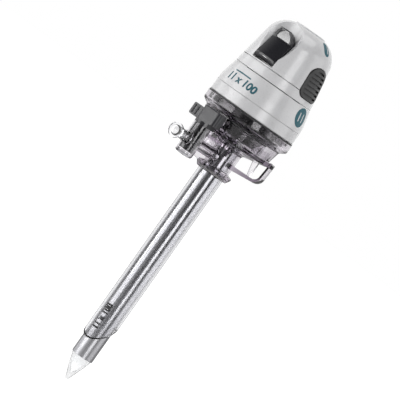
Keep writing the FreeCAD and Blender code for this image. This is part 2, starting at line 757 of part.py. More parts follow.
def stopcock_key():
    """Tapered plug, turning head and ridged tab, drawn closed, with the tab towards -X."""
    axis = Vector(0, BARREL_Y, 0)
    plug_r = BARREL_BORE_R - FIT_GAP
    head_low = KEY_HEAD_LOW
    plug = rod(plug_r, axis + Vector(0, 0, BARREL_LOW + PLUG_RISE), axis + Vector(0, 0, head_low + 1))
    neck = rod(BARREL_R, axis + Vector(0, 0, head_low), axis + Vector(0, 0, head_low + 1.5))
    half = KEY_HEAD_DEPTH / 2
    head_outline = [
        (-KEY_HEAD_LEFT, BARREL_Y - half, 1.2),
        (KEY_HEAD_RIGHT, BARREL_Y - half, 2.2),
        (KEY_HEAD_RIGHT, BARREL_Y + half, 2.2),
        (-KEY_HEAD_LEFT, BARREL_Y + half, 1.2),
    ]
    head = along_z(head_outline, head_low, KEY_HEAD_TOP)
    top_edges = [edge for edge in head.Edges if edge.BoundBox.ZMin > KEY_HEAD_TOP - 0.01]
    head = head.makeFillet(KEY_HEAD_EDGE, top_edges)
    undercut = box((BARREL_R, KEY_HEAD_RIGHT + 1), (BARREL_Y - half - 1, BARREL_Y + half + 1),
                   (head_low - 1, head_low + KEY_UNDERCUT))
    tab_half = KEY_TAB_DEPTH / 2
    tab_low = head_low + KEY_TAB_RISE
    tab_outline = rectangle(-KEY_TAB_REACH, -KEY_HEAD_LEFT + 0.5, tab_low, tab_low + KEY_TAB, 0.8)
    tab = along_y(tab_outline, BARREL_Y - tab_half, BARREL_Y + tab_half)
    ridges = []
    for reach in (0.42, 0.78):
        x = -KEY_HEAD_LEFT - reach * (KEY_TAB_REACH - KEY_HEAD_LEFT)
        for side in (-1, 1):
            foot = Vector(x, BARREL_Y + side * tab_half, tab_low + 0.8)
            ridges.append(rod(KEY_RIDGE, foot, foot + Vector(0, 0, KEY_TAB - 1.6)))
    bore = rod(GAS_R, Vector(-BARREL_R, BARREL_Y, PORT_Z), Vector(BARREL_R, BARREL_Y, PORT_Z))
    return fused([plug, neck, head.cut(undercut), tab] + ridges).cut(bore)


def stopcock_end_cap():
    stub_r = BARREL_BORE_R - FIT_GAP
    cap = spin(
        [
            (0, BARREL_LOW - END_CAP_DROP, 0),
            (BARREL_R - 0.3, BARREL_LOW - END_CAP_DROP + 0.3, 1.5),
            (BARREL_R, BARREL_LOW, 0),
            (stub_r, BARREL_LOW, 0),
            (stub_r, BARREL_LOW + END_CAP_STUB, 0),
            (0, BARREL_LOW + END_CAP_STUB, 0),
        ]
    )
    cap.translate(Vector(0, BARREL_Y, 0))
    return cap


def luer_fitting():
    back = BARREL_Y - BARREL_R - BOSS_LENGTH
    mouth = back - LUER_LENGTH

    def stage(radius, start, end):
        return rod(radius, Vector(0, start, PORT_Z), Vector(0, end, PORT_Z))

    body = fused(
        [
            stage(LUER_NECK_R, back, mouth + LUER_FLANGE / 2),
            stage(LUER_FLANGE_R, mouth + LUER_FLANGE, mouth),
            stage(LUER_SPIGOT_R, back + LUER_SPIGOT, back - 1),
        ]
    )
    return body.cut(
        [
            stage(LUER_BORE_R, mouth + LUER_BORE_DEPTH, mouth - 1),
            stage(GAS_R, back + LUER_SPIGOT + 1, mouth),
        ]
    )


def lock_ring():
    """The seal cap's lower band, with the skirt and lugs that turn into the housing."""
    inner_r = CAP_R - CAP_WALL - CAP_STEP
    band = spin(
        [
            (SKIRT_R - SKIRT_WALL, SKIRT_LOW, 0),
            (SKIRT_R, SKIRT_LOW, 0),
            (SKIRT_R, CAP_LOW, 0.3),
            (CAP_R, CAP_LOW, 0.4),
            (CAP_R, CAP_SEAM_Z - SEAT_GAP, 0.15),
            (inner_r, CAP_SEAM_Z - SEAT_GAP, 0),
            (inner_r, LEDGE_Z, 0),
            (SKIRT_R - SKIRT_WALL, LEDGE_Z, 0),
        ]
    )
    lugs = []
    for count in range(LUG_COUNT):
        centre = count * 360.0 / LUG_COUNT
        lug = rectangle(SKIRT_R - 0.4, SKIRT_R + SEAM + LUG_OVERLAP, SKIRT_LOW, SKIRT_LOW + LUG_HEIGHT)
        lugs.append(spin(lug, centre - LUG_SWEEP / 2, LUG_SWEEP))
    return fused([band] + lugs)


def arm_slot(z_low, z_high):
    """The slot that a button's latch arm and nose pass through."""
    x_low = ARM_X - BUTTON_TRAVEL - SEAM
    x_high = ARM_X + ARM_THICK + NOSE + SEAM
    half = ARM_WIDTH / 2 + WINDOW_GAP
    return along_z(rectangle(x_low, x_high, -half, half, 0.5), z_low, z_high)


def seal_cap_shell():
    inner_r = CAP_R - CAP_WALL - CAP_STEP - SEAT_GAP
    plate_low = CAP_TOP - CAP_PLATE
    shell = spin(
        [
            (inner_r, CAP_SEAM_Z, 0),
            (CAP_R, CAP_SEAM_Z, 0.15),
            (CAP_R - 0.1, CAP_SEAM_Z + 0.25 * (CAP_TOP - CAP_SEAM_Z), 18),
            (CAP_TOP_R, CAP_TOP, 0.4),
            (CAP_MOUTH_R, CAP_TOP, 0.6),
            (CAP_MOUTH_R, plate_low, 0.3),
            (CAP_TOP_R - CAP_WALL, plate_low, 1.5),
            (CAP_R - CAP_WALL, CAP_SEAM_Z + 3, 1.0),
            (inner_r - 1.4, CAP_SEAM_Z + 1.5, 0.3),
            (inner_r - 1.4, LEDGE_Z + BELLOWS_FLANGE + SEAT_GAP, 0),
            (inner_r, LEDGE_Z + BELLOWS_FLANGE + SEAT_GAP, 0),
        ]
    )
    slot = arm_slot(plate_low - 1, CAP_TOP + 1)
    return shell.cut([slot, mirrored(slot)])


def stack_height(layer):
    """The underside of a layer of the seal stack, counted down from the crown."""
    thick = (CROWN, PETAL, SEAL, BELLOWS, CROWN)
    return STACK_TOP - sum(thick[: layer + 1]) - layer * SEAT_GAP


def seal_crown():
    low = stack_height(0)
    return spin(
        [
            (STACK_BORE_R, low, 0.2),
            (STACK_R + SEAT_GAP, low, 0),
            (STACK_R + SEAT_GAP, stack_height(2), 0),
            (STACK_R + SEAT_GAP + STACK_SKIRT, stack_height(2), 0),
            (STACK_R + SEAT_GAP + STACK_SKIRT, STACK_TOP, 0.3),
            (STACK_BORE_R, STACK_TOP, 0.3),
        ]
    )


def cone_seal(mouth_r, low, thick, drop):
    """A flange that turns down into a cone with a round mouth."""
    return [
        (STACK_R, low, 0),
        (STACK_R, low + thick, 0),
        (STACK_BORE_R + 0.3, low + thick, 0.5),
        (mouth_r, low + thick - drop, 0),
        (mouth_r, low - drop, 0),
        (STACK_BORE_R - 0.2, low, 0.3),
    ]


def seal_protector():
    """Four petals that guide an instrument to the middle of the seal."""
    low = stack_height(1)
    run = (STACK_BORE_R - PETAL_MOUTH_R) / (STACK_BORE_R - SHAFT_R - SHAFT_GAP)
    cone = spin(cone_seal(PETAL_MOUTH_R, low, PETAL, SEAL_DROP * run))
    for count in range(PETAL_COUNT):
        slit = box((-PETAL_SLIT / 2, PETAL_SLIT / 2), (-STACK_R - 1, 0), (low - SEAL_DROP - 1, low + 2))
        cone = cone.cut(turned(slit, (count + 0.5) * 360.0 / PETAL_COUNT))
    return cone


def instrument_seal():
    return spin(cone_seal(SHAFT_R + SHAFT_GAP, stack_height(2), SEAL, SEAL_DROP))


def seal_bellows():
    """A thin pleated skirt that lets the seal float sideways."""
    top = stack_height(3)
    outer_r = CAP_R - CAP_WALL - CAP_STEP - 2 * SEAT_GAP
    low = LEDGE_Z
    first = STACK_R + 2 * STACK_SKIRT
    pleat = (outer_r - BELLOWS_FOOT - first) / 3
    trough = low + BELLOWS_TROUGH
    crest = top - BELLOWS_CREST
    return spin(
        [
            (STACK_BORE_R, top, 0),
            (STACK_BORE_R, top + BELLOWS, 0),
            (first, top + BELLOWS, 0.5),
            (first + pleat, trough + 2 * BELLOWS, 0.3),
            (first + 2 * pleat, crest + BELLOWS, 0.5),
            (first + 3 * pleat + BELLOWS, low + BELLOWS_FLANGE, 0.2),
            (outer_r, low + BELLOWS_FLANGE, 0),
            (outer_r, low, 0),
            (first + 3 * pleat, low, 0),
            (first + 2 * pleat, crest - BELLOWS, 0.3),
            (first + pleat, trough, 0.3),
            (first - BELLOWS, top, 0.3),
        ]
    )


def seal_retainer():
    low = stack_height(4)
    return ring(STACK_BORE_R + 0.9, STACK_R, low, low + CROWN, 0.3)


def handle_base():
    """The collar under the dome, with the plate that carries the shaft and a spigot into the cap."""
    wall_r = HEAD_SEAM_R - HEAD_WALL
    collar = spin(
        [
            (SHAFT_R + FIT_GAP, BASE_LOW - BASE_SPIGOT, 0),
            (BASE_SPIGOT_R - 0.6, BASE_LOW - BASE_SPIGOT, 0.2),
            (BASE_SPIGOT_R, BASE_LOW - BASE_SPIGOT + 0.9, 0.2),
            (BASE_SPIGOT_R, BASE_LOW, 0.2),
            (BASE_LOW_R, BASE_LOW, 0.3),
            (HEAD_SEAM_R + 0.05, BASE_TOP, 0.15),
            (wall_r, BASE_TOP, 0),
            (wall_r, PLATE_TOP, 0.6),
            (SHAFT_R + FIT_GAP, PLATE_TOP, 0),
        ]
    )
    slot = arm_slot(BASE_LOW - 1, PLATE_TOP + 1)
    window = button_window(WINDOW_GAP)
    return collar.cut([slot, mirrored(slot), window, mirrored(window)])


def handle_cap():
    """The dome: a shell with the lever's scoop and slot, button windows and the scope's tube."""
    skirt_r = HEAD_SEAM_R - HEAD_WALL - SEAT_GAP
    skirt_low = PLATE_TOP + 0.8
    above_seam = box((-RIM_R, RIM_R), (-RIM_R, RIM_R), (HEAD_SEAM_Z, CROWN_Z + 1))
    outside = head_solid().common(above_seam)
    tube = rod(TUBE_R, Vector(0, 0, TUBE_LOW), Vector(0, 0, CROWN_Z))
    cavity = head_solid(HEAD_WALL).cut([scoop_egg(HEAD_WALL), lever_pocket(POCKET_WALL), tube])
    skirt = ring(skirt_r - 1.1, skirt_r, skirt_low, HEAD_SEAM_Z + 1)
    crown_low = CROWN_Z - GUIDE_HEIGHT
    half = PAD_WIDTH / 2 + SEAT_GAP
    pad_hole = box((-half, half), (POCKET_BACK_Y - 1, POCKET_BACK_Y + 4),
                   (PIN_Z - PAD_HEIGHT / 2 - SEAT_GAP, PIN_Z + PAD_HEIGHT / 2 + SEAT_GAP))
    window = button_window(WINDOW_GAP)
    inner_lip = button_window(BUTTON_LIP + WINDOW_GAP).common(head_solid(HEAD_WALL - 0.1))
    pin_reach = LEVER_WIDTH / 2 + WINDOW_GAP + POCKET_WALL
    pin_hole = rod(LEVER_PIN_R, Vector(-pin_reach, PIN_Y, PIN_Z), Vector(pin_reach, PIN_Y, PIN_Z))
    dome = outside.cut(cavity).fuse(skirt)
    return dome.cut(
        [
            scoop_egg(),
            lever_pocket(),
            pad_hole,
            pin_hole,
            rod(GUIDE_R - 1.2, Vector(0, 0, TUBE_LOW - 1), Vector(0, 0, CROWN_Z + 1)),
            rod(GUIDE_R + FIT_GAP, Vector(0, 0, crown_low), Vector(0, 0, CROWN_Z + 1)),
            window,
            mirrored(window),
            inner_lip,
            mirrored(inner_lip),
        ]
    )


def scope_guide():
    """The funnel in the crown that leads a scope into the handle."""
    top = CROWN_Z - GUIDE_SINK
    low = CROWN_Z - GUIDE_HEIGHT
    return spin(
        [
            (GUIDE_BORE_R, low - 2, 0.2),
            (GUIDE_R - 1.3, low - 2, 0.2),
            (GUIDE_R - 1.3, low, 0),
            (GUIDE_R, low, 0),
            (GUIDE_R, top, 0.3),
            (GUIDE_R - 0.9, top, 0.3),
            (GUIDE_BORE_R, low, 1.0),
        ]
    )


def scope_lock_lever():
    """A plate that leans back with the dome, with a lip for the fingertip and an inset facet at its top."""
    bend_y = lever_face_y(LEVER_BEND_Z)
    lip_y = bend_y - LEVER_LIP
    knuckle_back = PIN_Y + LEVER_KNUCKLE_R / 3
    side = [
        (LEVER_LOW_Y, LEVER_LOW, LEVER_EDGE_R),
        (bend_y, LEVER_BEND_Z, 4.0),
        (lip_y, LEVER_TOP, 0.6),
        (lip_y + LEVER_TIP_THICK, LEVER_TOP, 0.6),
        (bend_y + LEVER_THICK, LEVER_BEND_Z - 1, 3.0),
        (knuckle_back, PIN_Z + LEVER_KNUCKLE_R, 3.0),
        (knuckle_back, LEVER_LOW, 0.5),
    ]
    half = LEVER_WIDTH / 2
    plate = along_x(side, -half, half)
    front = [
        (-half, LEVER_LOW - 1, 0),
        (half, LEVER_LOW - 1, 0),
        (half, LEVER_TOP + 0.1, LEVER_TIP_ROUND),
        (-half, LEVER_TOP + 0.1, LEVER_TIP_ROUND),
    ]
    plate = plate.common(along_y(front, 2 * LEVER_LOW_Y, 0))
    knuckle = rod(LEVER_KNUCKLE_R, Vector(-half, PIN_Y, PIN_Z), Vector(half, PIN_Y, PIN_Z))
    dish_half = LEVER_DISH_WIDTH / 2
    dish_top = LEVER_TOP - LEVER_DISH_RIM
    dish_low = dish_top - LEVER_DISH
    dish_front = [
        (-dish_half, dish_low, 0),
        (dish_half, dish_low, 0),
        (dish_half, dish_top, dish_half - 0.2),
        (-dish_half, dish_top, dish_half - 0.2),
    ]
    dish = along_y(dish_front, 2 * LEVER_LOW_Y, bend_y + LEVER_DISH_DEPTH)
    bore = rod(LEVER_PIN_R + PIN_GAP, Vector(-half - 1, PIN_Y, PIN_Z), Vector(half + 1, PIN_Y, PIN_Z))
    return fused([plate, knuckle]).cut([dish, bore])


def lever_pin():
    reach = LEVER_WIDTH / 2 + WINDOW_GAP + POCKET_WALL - SEAT_GAP
    return rod(LEVER_PIN_R, Vector(-reach, PIN_Y, PIN_Z), Vector(reach, PIN_Y, PIN_Z))


def scope_clamp_pad():
    """The block that the lever's knuckle bears on, with an end shaped to the scope."""
    half = PAD_WIDTH / 2
    front = PIN_Y + LEVER_KNUCKLE_R + SEAM
    block = box((-half, half), (front, 0), (PIN_Z - PAD_HEIGHT / 2, PIN_Z + PAD_HEIGHT / 2))
    return block.cut(rod(GUIDE_BORE_R + 0.6, Vector(0, 0, PIN_Z - 5), Vector(0, 0, PIN_Z + 5)))


def shaft_clamp():
    """The ring with four ears that holds the shaft's flange down on the base plate."""
    low = FLANGE_TOP + SEAT_GAP
    body = ring(SHAFT_R - SHAFT_WALL + 0.5, CLAMP_R - 0.5 * CLAMP_EAR_R, low, low + CLAMP_HEIGHT, 0.3)
    ears = []
    for count in range(4):
        foot = Vector(0, -CLAMP_R, PLATE_TOP)
        ear = rod(CLAMP_EAR_R, foot, foot + Vector(0, 0, low + CLAMP_HEIGHT - PLATE_TOP))
        ears.append(turned(ear, 45 + 90 * count))
    return fused([body] + ears)


def obturator_shaft():
    """The long tube, with the flange at its top that the handle holds."""
    outside = fused(
        [
            rod(SHAFT_R, Vector(0, 0, SHAFT_END_Z), Vector(0, 0, FLANGE_TOP)),
            rod(SHAFT_FLANGE_R, Vector(0, 0, PLATE_TOP), Vector(0, 0, FLANGE_TOP)),
        ]
    )
    channel_r = SHAFT_R - SHAFT_WALL
    low = Vector(0, 0, SHAFT_END_Z - 1)
    shoulder_z = SHAFT_END_Z + TIP_SPIGOT + FIT_GAP
    channel = rod(channel_r, Vector(0, 0, shoulder_z), Vector(0, 0, FLANGE_TOP + 1))
    socket = rod(channel_r - SHAFT_SHOULDER, low, Vector(0, 0, shoulder_z))
    return outside.cut([channel, socket])


def obturator_tip():
    """A hollow pointed tip, slightly flattened front and back, with a spigot up into the shaft."""
    base_r = SHAFT_R - TIP_BASE_DROP
    spigot_r = SHAFT_R - SHAFT_WALL - SHAFT_SHOULDER - FIT_GAP
    belly_z = SHAFT_END_Z - TIP_BELLY_DROP
    cone = spin(
        [
            (0, TIP_Z, 0),
            (TIP_POINT_R, TIP_Z, 0.3),
            (TIP_BELLY_R, belly_z, TIP_BELLY_ROUND),
            (base_r, SHAFT_END_Z, 0),
            (spigot_r, SHAFT_END_Z, 0),
            (spigot_r, SHAFT_END_Z + TIP_SPIGOT, 0),
            (0, SHAFT_END_Z + TIP_SPIGOT, 0),
        ]
    )
    hollow = spin(
        [
            (0, TIP_Z + 4 * TIP_WALL, 0),
            (TIP_BELLY_R - TIP_WALL, belly_z, TIP_BELLY_ROUND),
            (spigot_r - TIP_WALL, SHAFT_END_Z, 0),
            (spigot_r - TIP_WALL, SHAFT_END_Z + TIP_SPIGOT + 1, 0),
            (0, SHAFT_END_Z + TIP_SPIGOT + 1, 0),
        ]
    )
    tip = cone.cut(hollow)
    slope = math.tan(math.radians(TIP_FLAT_ANGLE))
    reach = TIP_LENGTH * slope
    flat = along_x(
        [
            (-TIP_POINT_R - reach - 0.4, SHAFT_END_Z, 0),
            (-TIP_POINT_R - 0.4, TIP_Z, 0),
            (-TIP_POINT_R - 0.4, TIP_Z - 2, 0),
            (-SHAFT_R - 2, TIP_Z - 2, 0),
            (-SHAFT_R - 2, SHAFT_END_Z, 0),
        ],
        -SHAFT_R,
        SHAFT_R,
    )
    return tip.cut([flat, turned(flat, 180)])


def release_button():
    """A ridged plate that follows the dome, its retaining lip, and the latch arm below."""
    skin = head_solid(-BUTTON_PROUD).cut(head_solid(BUTTON_DEPTH))
    plate = button_window().common(skin)
    lip_skin = head_solid(HEAD_WALL + SEAM).cut(head_solid(BUTTON_DEPTH))
    lip = button_window(BUTTON_LIP).common(lip_skin)
    lip = lip.cut(box((0, RIM_R), (-RIM_R, RIM_R), (0, HEAD_SEAM_Z + 1)))
    groove_bottom = head_solid(-BUTTON_PROUD + BUTTON_GROOVE)
    inner = button_window(-BUTTON_BORDER).cut(groove_bottom)
    grooves = []
    run = BUTTON_TOP - BUTTON_LOW - 2 * BUTTON_BORDER
    pitch = run / (BUTTON_RIDGES + 0.5)
    for count in range(BUTTON_RIDGES + 1):
        middle = BUTTON_LOW + BUTTON_BORDER + (count + 0.25) * pitch
        band = box((0, RIM_R + 3), (-RIM_R, RIM_R), (middle - 0.25 * pitch, middle + 0.25 * pitch))
        grooves.append(inner.common(band))
    arm_top = HEAD_SEAM_Z + ARM_RISE
    half = ARM_WIDTH / 2
    arm = box((ARM_X, ARM_X + ARM_THICK), (-half, half), (ARM_LOW, arm_top))
    root = box((ARM_X, ARM_X + ARM_THICK + 1.5), (-half, half), (HEAD_SEAM_Z + 1, arm_top))
    nose_x = ARM_X + ARM_THICK
    nose = along_y(
        [
            (nose_x - 0.5, ARM_LOW, 0),
            (nose_x, ARM_LOW, 0),
            (nose_x + NOSE, ARM_LOW + NOSE_HEIGHT - 0.4, 0),
            (nose_x + NOSE, ARM_LOW + NOSE_HEIGHT, 0),
            (nose_x - 0.5, ARM_LOW + NOSE_HEIGHT, 0),
        ],
        -half,
        half,
    )
    return fused([plate.cut(grooves), lip, arm, root, nose])


def button_spring():
    """A strip bent into a U between the scope's tube and the back of a button."""
    inner_x = TUBE_R + SEAT_GAP
    outer_x = ARM_X
    round_r = (outer_x - inner_x) / 2
    outer = rectangle(inner_x, outer_x, SPRING_LOW, SPRING_TOP)
    outer[0] = (inner_x, SPRING_LOW, round_r - 0.05)
    outer[1] = (outer_x, SPRING_LOW, round_r - 0.05)
    strip = SPRING_STRIP
    inner = rectangle(inner_x + strip, outer_x - strip, SPRING_LOW + strip, SPRING_TOP + 1)
    inner[0] = (inner_x + strip, SPRING_LOW + strip, round_r - strip - 0.05)
    inner[1] = (outer_x - strip, SPRING_LOW + strip, round_r - strip - 0.05)
    half = SPRING_WIDTH / 2
    return along_y(outer, -half, half).cut(along_y(inner, -half - 1, half + 1))


button = release_button()
spring = button_spring()

pieces = {
    "valve_housing": valve_housing(),
    "cannula_sleeve": sleeve(),
    "sleeve_o_ring": sleeve_ring(),
    "duckbill_valve": duckbill(),
    "duckbill_retainer": duckbill_retainer(),
    "rim_gasket": rim_gasket(),
    "detent_pads": detent_pads(),
    "stopcock_key": stopcock_key(),
    "stopcock_end_cap": stopcock_end_cap(),
    "luer_fitting": luer_fitting(),
    "seal_lock_ring": lock_ring(),
    "seal_cap_shell": seal_cap_shell(),
    "seal_crown": seal_crown(),
    "seal_protector": seal_protector(),
    "instrument_seal": instrument_seal(),
    "seal_bellows": seal_bellows(),
    "seal_retainer": seal_retainer(),
    "handle_base": handle_base(),
    "handle_cap": handle_cap(),
    "scope_guide": scope_guide(),
    "scope_lock_lever": scope_lock_lever(),
    "lever_pin": lever_pin(),
    "scope_clamp_pad": scope_clamp_pad(),
    "shaft_clamp": shaft_clamp(),
    "obturator_shaft": obturator_shaft(),
    "obturator_tip": obturator_tip(),
    "release_button_right": button,
    "release_button_left": mirrored(button),
    "button_spring_right": spring,
    "button_spring_left": mirrored(spring),
}

os.makedirs("parts", exist_ok=True)
for name, shape in pieces.items():
    shape.exportStep(os.path.join("parts", name + ".step"))
    print(name, "solids", len(shape.Solids), "valid", shape.isValid(), "volume", round(shape.Volume, 1))
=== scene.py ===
import json
import math

import bmesh
import bpy
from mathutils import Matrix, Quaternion, Vector
from mathutils.bvhtree import BVHTree


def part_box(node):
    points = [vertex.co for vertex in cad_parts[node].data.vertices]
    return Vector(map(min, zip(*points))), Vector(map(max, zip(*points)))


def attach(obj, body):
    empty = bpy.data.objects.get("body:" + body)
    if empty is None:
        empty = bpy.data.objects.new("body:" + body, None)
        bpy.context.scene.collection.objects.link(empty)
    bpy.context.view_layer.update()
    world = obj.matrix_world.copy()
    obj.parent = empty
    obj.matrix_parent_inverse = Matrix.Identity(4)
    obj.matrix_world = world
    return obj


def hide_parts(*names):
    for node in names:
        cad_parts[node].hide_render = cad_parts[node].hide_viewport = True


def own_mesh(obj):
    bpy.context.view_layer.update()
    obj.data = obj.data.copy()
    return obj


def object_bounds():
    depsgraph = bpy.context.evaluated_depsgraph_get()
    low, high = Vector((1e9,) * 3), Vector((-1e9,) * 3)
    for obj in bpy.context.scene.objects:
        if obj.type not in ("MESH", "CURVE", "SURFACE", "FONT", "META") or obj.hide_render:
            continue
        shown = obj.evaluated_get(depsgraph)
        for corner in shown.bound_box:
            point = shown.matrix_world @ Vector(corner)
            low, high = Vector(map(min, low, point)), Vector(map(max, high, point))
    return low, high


# The looks of a laparoscopic trocar: materials, the crowned lever, the button springs, the printed marks,
# light, floor and camera. Lengths are in metres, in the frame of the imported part: +Z runs up the cannula to
# the handle and -Y is the front. A heading is measured in degrees from the front towards +X.

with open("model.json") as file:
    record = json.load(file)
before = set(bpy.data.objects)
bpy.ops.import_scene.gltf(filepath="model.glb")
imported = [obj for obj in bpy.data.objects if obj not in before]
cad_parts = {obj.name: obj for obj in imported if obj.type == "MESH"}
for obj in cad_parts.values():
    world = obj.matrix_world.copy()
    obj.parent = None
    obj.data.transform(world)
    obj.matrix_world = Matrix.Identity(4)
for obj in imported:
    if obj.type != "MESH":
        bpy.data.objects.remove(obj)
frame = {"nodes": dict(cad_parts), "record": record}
cad_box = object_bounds()
nodes = frame["nodes"]
MM = 0.001

# Camera
VIEW_AZIMUTH = 34.0
VIEW_ELEVATION = 2.5
VIEW_ROLL = 35.2
VIEW_DISTANCE = 1.3
VIEW_WIDTH = 0.194
VIEW_RIGHT = 3.1 * MM
VIEW_HEIGHT = -13.4 * MM
SENSOR = 36.0

# Backdrop and floor. An edge is a pair of values of towards_camera, between which the first level falls to
# the second.
AMBIENT = 0.23
BACK_GLOSS = 1.0
FRONT_GLOSS = 0.08
GLOSS_EDGE = (-0.7, 0.3)
BACK_THROUGH = 1.0
FRONT_THROUGH = 0.06
THROUGH_EDGE = (-0.85, -0.15)
FLOOR_DROP = 0.08
FLOOR_SIZE = 12.0
FLOOR_COLOUR = (0.80, 0.80, 0.80)
FLOOR_ROUGHNESS = 0.9
FLOOR_SPECULAR = 0.1
FLOOR_NEAR = 0.12
FLOOR_FAR = 0.32
FLOOR_SHADE = 0.55

# Lamps. The last column says which rays see the lamp: matt surfaces, glossy ones and clear plastic.
RAYS = ("diffuse", "glossy", "transmission")
PANELS = [
    # name, azimuth from the camera, elevation, distance, width, height, radiance, rays
    ("left_panel", -64.0, 2.0, 1.0, 0.80, 0.9, 2.5, RAYS),
    ("left_edge", -32.0, 2.0, 1.0, 0.40, 0.9, 0.35, RAYS),
    ("left_far", -106.0, 2.0, 1.0, 0.58, 0.9, 1.2, ("diffuse", "glossy")),
    ("front_strip", 22.0, 10.0, 1.15, 0.42, 0.8, 3.0, RAYS),
    ("right_panel", 80.0, 4.0, 1.0, 0.75, 1.2, 1.15, RAYS),
    ("right_far", 90.0, 4.0, 1.0, 1.15, 1.2, 0.8, ("transmission",)),
    ("top_panel", 10.0, 78.0, 1.1, 0.80, 0.8, 1.6, RAYS),
    ("facet_light", -66.8, -5.7, 0.45, 0.08, 0.08, 14.0, ("glossy",)),
]


def direction(azimuth, elevation):
    """The unit vector from the part towards a place at this azimuth and elevation."""
    turn = math.radians(azimuth)
    rise = math.radians(elevation)
    return Vector((math.sin(turn) * math.cos(rise), -math.cos(turn) * math.cos(rise), math.sin(rise)))


# Materials. A scale is a noise's cells per metre, a depth is the height of its bumps and a bump is their
# strength. A spread is how far the noise moves the roughness, as a share of it except in rubber.

NOISE_RANGE = (0.3, 0.7)
FINE_DETAIL = 2.0
FLOW_SCALE = 60.0
GRAIN_SCALE = 1500.0
GRAIN_DEPTH = 0.010 * MM
GRAIN_SPREAD = 0.15
PLASTIC_IOR = 1.52
COAT_IOR = 1.6
CLEAR_IOR = 1.5
CLEAR_DIP = 0.94
CLEAR_SCALE = 90.0
HAZE_SCALE = 700.0
HAZE_SPREAD = 0.4
RIPPLE_SCALE = 220.0
RIPPLE_DEPTH = 0.020 * MM
RIPPLE_BUMP = 0.25
SMOKE_DENSITY = 130.0
MOTTLE_SCALE = 140.0
SHEEN_SCALE = 900.0
SHEEN_SPREAD = 0.08
PORE_SCALE = 1800.0
PORE_DEPTH = 0.020 * MM
STREAK_SCALE = 900.0
STREAK_CONTRAST = 0.6
STREAK_DEPTH = 0.010 * MM
STREAK_BUMP = 0.3
STREAK_SPREAD = 0.3
DRAWN = (1, 1, 0.03)


def new_material(name):
    made = bpy.data.materials.new(name)
    made.use_nodes = True
    tree = made.node_tree
    return made, tree, tree.nodes["Principled BSDF"]


def place_nodes(tree):
    """Coordinates in metres that are fixed to the part."""
    return tree.nodes.new("ShaderNodeTexCoord").outputs["Object"]


def noise(tree, scale, detail=3.0, roughness=0.5, stretch=(1, 1, 1)):
    mapping = tree.nodes.new("ShaderNodeMapping")
    mapping.inputs["Scale"].default_value = stretch
    tree.links.new(place_nodes(tree), mapping.inputs["Vector"])
    texture = tree.nodes.new("ShaderNodeTexNoise")
    texture.inputs["Scale"].default_value = scale
    texture.inputs["Detail"].default_value = detail
    texture.inputs["Roughness"].default_value = roughness
    tree.links.new(mapping.outputs["Vector"], texture.inputs["Vector"])
    return texture.outputs["Fac"]


def spread(tree, value, low, high):
    """Maps a noise value onto a range."""
    node = tree.nodes.new("ShaderNodeMapRange")
    node.inputs["From Min"].default_value = NOISE_RANGE[0]
    node.inputs["From Max"].default_value = NOISE_RANGE[1]
    node.inputs["To Min"].default_value = low
    node.inputs["To Max"].default_value = high
    tree.links.new(value, node.inputs["Value"])
    return node.outputs["Result"]


def blend_colours(tree, value, low, high):
    """Turns a noise value into a colour between two."""
    ramp = tree.nodes.new("ShaderNodeValToRGB")
    for stop, position, colour in zip(ramp.color_ramp.elements, NOISE_RANGE, (low, high)):
        stop.position = position
        stop.color = (*colour, 1)
    tree.links.new(value, ramp.inputs["Fac"])
    return ramp.outputs["Color"]


def vary_roughness(tree, shader, value, middle, reach):
    """Lets a noise value move the roughness by up to the reach on either side of its middle."""
    tree.links.new(spread(tree, value, middle - reach, middle + reach), shader.inputs["Roughness"])


def bump(tree, shader, value, depth, strength=0.5):
    node = tree.nodes.new("ShaderNodeBump")
    node.inputs["Strength"].default_value = strength
    node.inputs["Distance"].default_value = depth
    tree.links.new(value, node.inputs["Height"])
    tree.links.new(node.outputs["Normal"], shader.inputs["Normal"])


def paint_shade_below(tree, colour, below, edge_z):
    """Painted shade: gives the colour another one, the shade colour, under a height."""
    place = tree.nodes.new("ShaderNodeSeparateXYZ")
    tree.links.new(place_nodes(tree), place.inputs["Vector"])
    above = tree.nodes.new("ShaderNodeMath")
    above.operation = "GREATER_THAN"
    above.inputs[1].default_value = edge_z
    tree.links.new(place.outputs["Z"], above.inputs[0])
    mix = tree.nodes.new("ShaderNodeMix")
    mix.data_type = "RGBA"
    tree.links.new(above.outputs["Value"], mix.inputs["Factor"])
    mix.inputs["A"].default_value = (*below, 1)
    tree.links.new(colour, mix.inputs["B"])
    return mix.outputs["Result"]


def plastic(name, tones, roughness, depth=GRAIN_DEPTH, coat=0.0, coat_roughness=0.1, below=None):
    """Moulded plastic: slight flow marks in the colour, and a fine grain in its gloss."""
    made, tree, shader = new_material(name)
    colour = blend_colours(tree, noise(tree, FLOW_SCALE), *tones)
    # below, where given, paints shade: a shade colour and the height under which it is painted.
    if below:
        colour = paint_shade_below(tree, colour, *below)
    tree.links.new(colour, shader.inputs["Base Color"])
    grain = noise(tree, GRAIN_SCALE, FINE_DETAIL)
    vary_roughness(tree, shader, grain, roughness, roughness * GRAIN_SPREAD)
    bump(tree, shader, grain, depth)
    shader.inputs["IOR"].default_value = PLASTIC_IOR
    shader.inputs["Coat Weight"].default_value = coat
    shader.inputs["Coat Roughness"].default_value = coat_roughness
    shader.inputs["Coat IOR"].default_value = COAT_IOR
    return made


